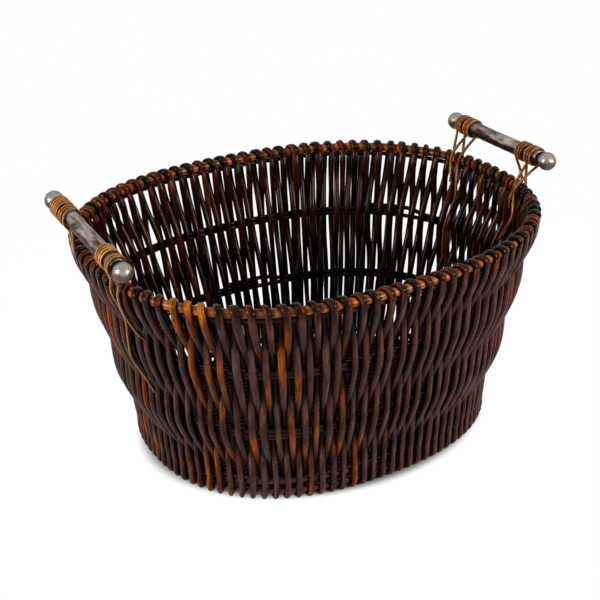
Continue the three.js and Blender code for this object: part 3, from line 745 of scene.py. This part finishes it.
bar_metal = aged_metal("bar_patina", (184, 173, 165), (58, 36, 27), 0.34, 0.95, 0.17)
hammer = bpy.data.textures.new("hammer_marks", "CLOUDS")
hammer.noise_scale = DENT_SIZE
for handle in BAR_PLACES:
    bpy.ops.object.select_all(action="DESELECT")
    bpy.ops.mesh.primitive_cylinder_add(vertices=48, radius=BAR_RADIUS, depth=BAR_LENGTH)
    piece = bpy.context.object
    piece.name = f"{handle}_bar_hammered"
    bpy.ops.object.mode_set(mode="EDIT")
    bpy.ops.mesh.select_mode(type="EDGE")
    bpy.ops.mesh.select_all(action="DESELECT")
    shape = bmesh.from_edit_mesh(piece.data)
    for edge in shape.edges:
        edge.select = abs(edge.verts[0].co.z - edge.verts[1].co.z) > BAR_LENGTH / 2
    bmesh.update_edit_mesh(piece.data)
    bpy.ops.mesh.subdivide(number_cuts=BAR_CUTS)
    bpy.ops.mesh.select_all(action="DESELECT")
    shape = bmesh.from_edit_mesh(piece.data)
    for edge in shape.edges:
        edge.select = all(abs(abs(v.co.z) - BAR_LENGTH / 2) < 1e-5 for v in edge.verts)
    bmesh.update_edit_mesh(piece.data)
    bpy.ops.mesh.bevel(offset=BAR_BEVEL, segments=3, affect="EDGES")
    bpy.ops.object.mode_set(mode="OBJECT")
    dents = piece.modifiers.new("hammering", "DISPLACE")
    dents.texture = hammer
    dents.strength = DENT_DEPTH
    dents.mid_level = 0.6
    bpy.ops.object.modifier_apply(modifier=dents.name)
    bpy.ops.object.shade_smooth_by_angle(angle=SMOOTH_ANGLE)
    settle(piece, bar_matrix(handle))
    # The underside takes painted shade in the patina colour.
    mark_underside(piece)
    piece.data.materials.append(bar_metal)
    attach(piece, "root")
    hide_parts(f"{handle}_bar")


# Balls: a smooth nickel-coloured ball on a short neck, pressed into each end of each bar. Dull shine, a few
# marks. The neck is drawn out of the ball's foot and its end made flat.
BALL_RADIUS = 0.0115
BALL_PLACE = 0.0963
NECK_RADIUS = 0.0062
NECK_LENGTH = 0.004
NECK_END = -0.0133
ball_metal = aged_metal("ball_nickel", (156, 149, 142), (98, 88, 81), 0.28, 0.5, 0.03)
for handle in BAR_PLACES:
    for end, way in (("near", -1), ("far", 1)):
        bpy.ops.object.select_all(action="DESELECT")
        bpy.ops.mesh.primitive_uv_sphere_add(segments=48, ring_count=32, radius=BALL_RADIUS)
        piece = bpy.context.object
        piece.name = f"{handle}_{end}_ball_round"
        bpy.ops.object.mode_set(mode="EDIT")
        bpy.ops.mesh.select_mode(type="FACE")
        bpy.ops.mesh.select_all(action="DESELECT")
        shape = bmesh.from_edit_mesh(piece.data)
        for face in shape.faces:
            reach = max(v.co.xy.length for v in face.verts)
            face.select = face.calc_center_median().z < 0 and reach < NECK_RADIUS
        bmesh.update_edit_mesh(piece.data)
        bpy.ops.mesh.extrude_region_move(TRANSFORM_OT_translate={"value": (0, 0, -NECK_LENGTH)})
        bpy.ops.transform.resize(value=(1, 1, 0), center_override=(0, 0, NECK_END))
        bpy.ops.object.mode_set(mode="OBJECT")
        bpy.ops.object.shade_smooth_by_angle(angle=SMOOTH_ANGLE)
        facing_out = Matrix.Scale(way, 4, (0, 0, 1))
        settle(piece, bar_matrix(handle) @ facing_out @ Matrix.Translation((0, 0, BALL_PLACE)))
        if way < 0:
            piece.data.flip_normals()
        # The ball's lower part takes painted shade in the patina colour.
        mark_underside(piece)
        piece.data.materials.append(ball_metal)
        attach(piece, "root")
        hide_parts(f"{handle}_{end}_ball")


# Lashings: one long strand of split rattan ties each bar end to the rim. It comes up outside, winds round the
# bar, goes down inside and under the rim's rods, comes up again, winds on, and ends in a tail on the wall.
STRAND_HALF_WIDTH = 0.0019
LEG_HALF_WIDTH = 0.0023
STRAND_HALF_THICKNESS = 0.0017
STRAND_POINT_GAP = 0.0016
NARROWS_AT = (0.292, 0.306)
TAIL_AT = (0.215, 0.262)
WIND_RADIUS = BAR_RADIUS + STRAND_HALF_THICKNESS
WIND_POINTS = 16
LEG_OUT = 0.0130
RATTAN_RED = linear(166, 74, 22)
RATTAN_GOLD = linear(222, 148, 52)
RATTAN_SIDE_SHADE = linear(32, 12, 4)
RATTAN_GOLD_SHARES = {"right_far": 0.35, "right_near": 0.3, "left_far": 0.4, "left_near": 0.85}


def smooth_path(points):
    """A centripetal curve through the points, as points at an even spacing."""
    points = np.asarray(points, float)
    ghost = np.concatenate([[2 * points[0] - points[1]], points, [2 * points[-1] - points[-2]]])
    pieces = []
    for i in range(1, len(ghost) - 2):
        p0, p1, p2, p3 = ghost[i - 1:i + 3]
        t0 = 0.0
        t1 = t0 + max(np.linalg.norm(p1 - p0), 1e-9) ** 0.5
        t2 = t1 + max(np.linalg.norm(p2 - p1), 1e-9) ** 0.5
        t3 = t2 + max(np.linalg.norm(p3 - p2), 1e-9) ** 0.5
        t = np.linspace(t1, t2, 14)[:-1, None]
        a1 = (t1 - t) / (t1 - t0) * p0 + (t - t0) / (t1 - t0) * p1
        a2 = (t2 - t) / (t2 - t1) * p1 + (t - t1) / (t2 - t1) * p2
        a3 = (t3 - t) / (t3 - t2) * p2 + (t - t2) / (t3 - t2) * p3
        b1 = (t2 - t) / (t2 - t0) * a1 + (t - t0) / (t2 - t0) * a2
        b2 = (t3 - t) / (t3 - t1) * a2 + (t - t1) / (t3 - t1) * a3
        pieces.append((t2 - t) / (t2 - t1) * b1 + (t - t1) / (t2 - t1) * b2)
    dense = np.concatenate(pieces + [points[-1:]])
    run = np.concatenate([[0], np.cumsum(np.linalg.norm(np.diff(dense, axis=0), axis=1))])
    even = np.linspace(0, run[-1], int(run[-1] / STRAND_POINT_GAP))
    return np.stack([np.interp(even, run, dense[:, k]) for k in range(3)], axis=1)


def winding(handle, start, way, marks):
    """Turns round the bar from an angle in degrees, 0 on its outer side and 90 on top. Marks are (turn, place
    along the bar)."""
    matrix = bar_matrix(handle)
    side = 1 if BAR_PLACES[handle][0] > 0 else -1
    turns, places = zip(*marks)
    turn = np.linspace(0, turns[-1], int(turns[-1] * WIND_POINTS))
    angle = math.radians(start) + way * 2 * math.pi * turn
    along = np.interp(turn, turns, places)
    across = side * WIND_RADIUS * np.cos(angle)
    down = -WIND_RADIUS * np.sin(angle)
    return [tuple(matrix @ Vector(point)) for point in zip(across, down, along)]


def on_wall(*places):
    """Points on the wall from (station, outset, height)."""
    return [tuple(point) for point in wall_point(*zip(*places))[0]]


LASHINGS = {
    "right_far": [
        on_wall((4.7, 0.0085, 0.240), (4.85, 0.0112, 0.254), (4.95, 0.0130, 0.268), (4.95, 0.0120, 0.284)),
        winding("right", 215, -1, [(0, 0.0812), (2.847, 0.0692)]),
        on_wall((4.0, -LEG_OUT, 0.287), (4.15, -LEG_OUT, 0.273), (3.9, -0.0125, 0.257),
                (3.75, -0.0085, 0.246), (3.75, 0.0, 0.241), (4.0, 0.0095, 0.246), (4.1, 0.0120, 0.256),
                (4.15, 0.0130, 0.268), (4.15, 0.0120, 0.284)),
        winding("right", 215, -1, [(0, 0.0648), (2.847, 0.0524)]),
        on_wall((3.15, -LEG_OUT, 0.286), (3.35, -LEG_OUT, 0.272), (3.2, -0.0125, 0.252),
                (3.0, -0.0108, 0.232), (3.2, -0.0108, 0.215), (3.42, -0.0118, 0.192),
                (3.38, -0.0098, 0.168), (3.36, -0.0078, 0.152))],
    "right_near": [
        on_wall((93.2, 0.0085, 0.240), (93.3, 0.0114, 0.256), (93.4, 0.0130, 0.270),
                (93.41, 0.0115, 0.285)),
        winding("right", 205, -1, [(0, -0.0468), (2.82, -0.0600)]),
        on_wall((91.6, -LEG_OUT, 0.287), (91.95, -LEG_OUT, 0.276), (92.0, -0.0122, 0.262),
                (92.2, -0.0080, 0.253), (92.45, 0.0, 0.250), (92.6, 0.0090, 0.253), (92.75, 0.0120, 0.261),
                (92.8, 0.0130, 0.271), (92.85, 0.0118, 0.284)),
        winding("right", 230, -1, [(0, -0.0648), (2.889, -0.0790)]),
        on_wall((91.2, -LEG_OUT, 0.287), (91.5, -LEG_OUT, 0.273), (91.1, -0.0125, 0.260),
                (90.95, -0.0110, 0.250), (91.25, -0.0100, 0.238), (91.55, -0.0108, 0.228),
                (92.09, -0.0103, 0.212))],
    "left_far": [
        on_wall((44.83, 0.0030, 0.2570), (44.83, 0.0062, 0.2630), (44.83, 0.0076, 0.275),
                (45.3, 0.0098, 0.290)),
        winding("left", -70, 1, [(0, 0.0370), (0.4, 0.0455), (2.694, 0.0570)]),
        on_wall((44.6, -LEG_OUT, 0.287), (44.6, -LEG_OUT, 0.272), (44.55, -0.0110, 0.262),
                (44.58, -0.0050, 0.2565), (44.58, 0.0030, 0.2570), (44.58, 0.0062, 0.2630),
                (44.6, 0.0076, 0.275), (44.9, 0.0100, 0.290), (45.1, 0.0120, 0.3045)),
        winding("left", -70, 1, [(0, 0.0612), (4.694, 0.0814)]),
        on_wall((42.9, -LEG_OUT, 0.287), (43.0, -LEG_OUT, 0.272), (43.1, -0.0120, 0.254),
                (43.0, -0.0088, 0.236), (43.1, -0.0098, 0.222))],
    "left_near": [
        on_wall((52.09, 0.0084, 0.136), (51.47, 0.0082, 0.1505), (50.99, 0.0096, 0.1615),
                (50.65, 0.0123, 0.178), (51.02, 0.0104, 0.212), (51.6, 0.0108, 0.237),
                (51.6, 0.0124, 0.255), (51.31, 0.0124, 0.275), (51.4, 0.0124, 0.288)),
        winding("left", -12, 1, [(0, -0.0812), (1.55, -0.0742)]),
        on_wall((50.3, -LEG_OUT, 0.286), (50.4, -LEG_OUT, 0.270), (51.0, -0.0120, 0.254),
                (52.0, -0.0088, 0.232), (52.6, 0.0, 0.213), (52.62, 0.0092, 0.219), (52.1, 0.0108, 0.232),
                (51.8, 0.0124, 0.250), (51.95, 0.0124, 0.272), (52.1, 0.0124, 0.287)),
        winding("left", -12, 1, [(0, -0.0650), (3.55, -0.0488)]),
        on_wall((49.7, -LEG_OUT, 0.286), (49.8, -LEG_OUT, 0.270), (49.9, -0.0118, 0.250),
                (49.8, -0.0092, 0.232), (49.9, -0.0098, 0.214))]}


def rattan_paint(shift, share, height):
    """Red-brown wandering to gold along the strand, its two sides darker as painted shade, and its
    tails darker.
    """
    up = smooth_step(0.2, 0.3, height)[:, None, None]

    def paint(normal, side, tangent):
        count, sides = normal.shape[:2]
        # Painted shade on the strand's two sides, so that its middle reads lighter.
        edge = smooth_step(0.45, 0.95, np.abs((normal * side[:, None]).sum(2)))[..., None]
        step = np.arange(count)[:, None, None]
        waves = 0.25 * np.sin(step * 0.071 + shift) + 0.15 * np.sin(step * 0.193 + 2 * shift)
        gold = np.clip(share + waves, 0, 1) * (0.6 + 0.4 * up)
        body = blend(RATTAN_RED, RATTAN_GOLD, gold) * (0.8 + 0.2 * up)
        colour = blend(body, RATTAN_SIDE_SHADE, 0.9 * edge)
        return np.concatenate([colour, np.full((count, sides, 1), 0.5)], axis=2)

    return paint


rattan_stain = stained_wood("rattan_strand", streak=0.35, mottle=0.4, matt=0.3, gloss=0.06, grain=0.3,
                            shine=0.4, tint=(1.0, 0.8, 0.5))
for number, (name, runs) in enumerate(LASHINGS.items()):
    path = smooth_path([point for run in runs for point in run])
    bar_axis = (bar_matrix(name.split("_")[0]).to_3x3() @ Vector((0, 0, 1))).normalized()
    axis = np.tile(np.array(bar_axis), (len(path), 1))
    height = path[:, 2]
    widths = blend(LEG_HALF_WIDTH, STRAND_HALF_WIDTH, smooth_step(*NARROWS_AT, height))
    widths = widths * (0.72 + 0.28 * smooth_step(*TAIL_AT, height))
    paint = rattan_paint(1.7 * number, RATTAN_GOLD_SHARES[name], height)
    piece = sweep(f"{name}_strand", [(path, axis, widths, STRAND_HALF_THICKNESS, paint)], 12)
    piece.data.materials.append(rattan_stain)
    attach(piece, "root")
    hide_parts(f"{name}_lashing")


# Studio: a pale floor that fades into a white room, two soft boxes to the left and right of the camera, and
# the camera at the height and side from which the basket is seen.
FLOOR_RADIUS = 1.0
FLOOR_FADE = (0.45, 0.95)
FOOTPRINT = (0.225, 0.183)
FOOTPRINT_FADE = (0.96, 1.06)
FLOOR_WHITE = 1.1
WORLD_LIGHT = 0.07


def add_length(tree, vector):
    node = tree.nodes.new("ShaderNodeVectorMath")
    node.operation = "LENGTH"
    tree.links.new(vector, node.inputs[0])
    return node.outputs["Value"]


floor_material, tree, shader = new_material("studio_floor")
shader.inputs["Base Color"].default_value = (0.5, 0.5, 0.5, 1)
shader.inputs["Roughness"].default_value = 0.9
shader.inputs["Specular IOR Level"].default_value = 0.0
place = tree.nodes.new("ShaderNodeTexCoord").outputs["Object"]
fade = add_range(tree, add_length(tree, place), FLOOR_FADE, (0, 1), "SMOOTHSTEP")
rays = tree.nodes.new("ShaderNodeLightPath")
seen = add_math(tree, "MAXIMUM", rays.outputs["Is Camera Ray"], rays.outputs["Is Glossy Ray"])
outline = tree.nodes.new("ShaderNodeMapping")
outline.inputs["Scale"].default_value = (1 / FOOTPRINT[0], 1 / FOOTPRINT[1], 1)
tree.links.new(place, outline.inputs["Vector"])
footprint = add_length(tree, outline.outputs["Vector"])
beside = add_range(tree, footprint, FOOTPRINT_FADE, (0, 0.9), "SMOOTHSTEP")
white = tree.nodes.new("ShaderNodeEmission")
white.inputs["Strength"].default_value = FLOOR_WHITE
pale = tree.nodes.new("ShaderNodeMixShader")
tree.links.new(add_math(tree, "MULTIPLY", seen, beside), pale.inputs["Fac"])
tree.links.new(shader.outputs["BSDF"], pale.inputs[1])
tree.links.new(white.outputs["Emission"], pale.inputs[2])
clear = tree.nodes.new("ShaderNodeBsdfTransparent")
faded = tree.nodes.new("ShaderNodeMixShader")
tree.links.new(fade, faded.inputs["Fac"])
tree.links.new(pale.outputs["Shader"], faded.inputs[1])
tree.links.new(clear.outputs["BSDF"], faded.inputs[2])
tree.links.new(faded.outputs["Shader"], tree.nodes["Material Output"].inputs["Surface"])
bpy.ops.object.select_all(action="DESELECT")
bpy.ops.mesh.primitive_circle_add(vertices=96, radius=FLOOR_RADIUS, fill_type="NGON")
studio_floor = bpy.context.object
studio_floor.name = "studio_floor"
studio_floor.data.materials.append(floor_material)

world = bpy.data.worlds.new("white_room")
bpy.context.scene.world = world
world.use_nodes = True
tree = world.node_tree
background = tree.nodes["Background"]
background.inputs["Color"].default_value = (1, 1, 1, 1)
rays = tree.nodes.new("ShaderNodeLightPath")
seen = add_math(tree, "MAXIMUM", rays.outputs["Is Camera Ray"], rays.outputs["Is Glossy Ray"])
seen = add_math(tree, "MAXIMUM", seen, rays.outputs["Is Transmission Ray"])
tree.links.new(add_range(tree, seen, (0, 1), (WORLD_LIGHT, 1)), background.inputs["Strength"])

CAMERA_PLACE = Vector((-0.8212, -1.4100, 0.9622))
CAMERA_TARGET = Vector((0.0149, -0.0083, 0.1490))
CAMERA_ROLL = -0.0104
CAMERA_LENS = 86.85
CAMERA_SHIFT = (-0.0415, 0.0167)
LAMP_CENTRE = Vector((0, 0, 0.15))
LAMP_DISTANCE = 2.0
LAMP_SIZE = 0.6
LAMP_RISE = math.radians(20)
LAMPS = {"left_soft_box": (-58, 26.0), "right_soft_box": (58, 28.0)}
camera_side = math.atan2(CAMERA_PLACE.y - CAMERA_TARGET.y, CAMERA_PLACE.x - CAMERA_TARGET.x)
for name, (swing, power) in LAMPS.items():
    side = camera_side + math.radians(swing)
    flat = math.cos(LAMP_RISE)
    direction = Vector((math.cos(side) * flat, math.sin(side) * flat, math.sin(LAMP_RISE)))
    place = LAMP_CENTRE + LAMP_DISTANCE * direction
    light = bpy.data.lights.new(name, "AREA")
    light.shape = "SQUARE"
    light.size = LAMP_SIZE
    light.energy = power
    lamp = bpy.data.objects.new(name, light)
    lamp.location = place
    lamp.rotation_euler = (LAMP_CENTRE - place).to_track_quat("-Z", "Y").to_euler()
    bpy.context.scene.collection.objects.link(lamp)

lens = bpy.data.cameras.new("camera")
lens.sensor_width = 36
lens.lens = CAMERA_LENS
lens.shift_x, lens.shift_y = CAMERA_SHIFT
camera = bpy.data.objects.new("camera", lens)
forward = (CAMERA_TARGET - CAMERA_PLACE).normalized()
right = forward.cross(Vector((0, 0, 1))).normalized()
up = right.cross(forward)
rolled_right = math.cos(CAMERA_ROLL) * right + math.sin(CAMERA_ROLL) * up
rolled_up = -math.sin(CAMERA_ROLL) * right + math.cos(CAMERA_ROLL) * up
basis = Matrix((rolled_right, rolled_up, -forward)).transposed()
camera.matrix_world = Matrix.Translation(CAMERA_PLACE) @ basis.to_4x4()
bpy.context.scene.collection.objects.link(camera)
bpy.context.scene.camera = camera
bpy.context.scene.view_settings.view_transform = "Standard"
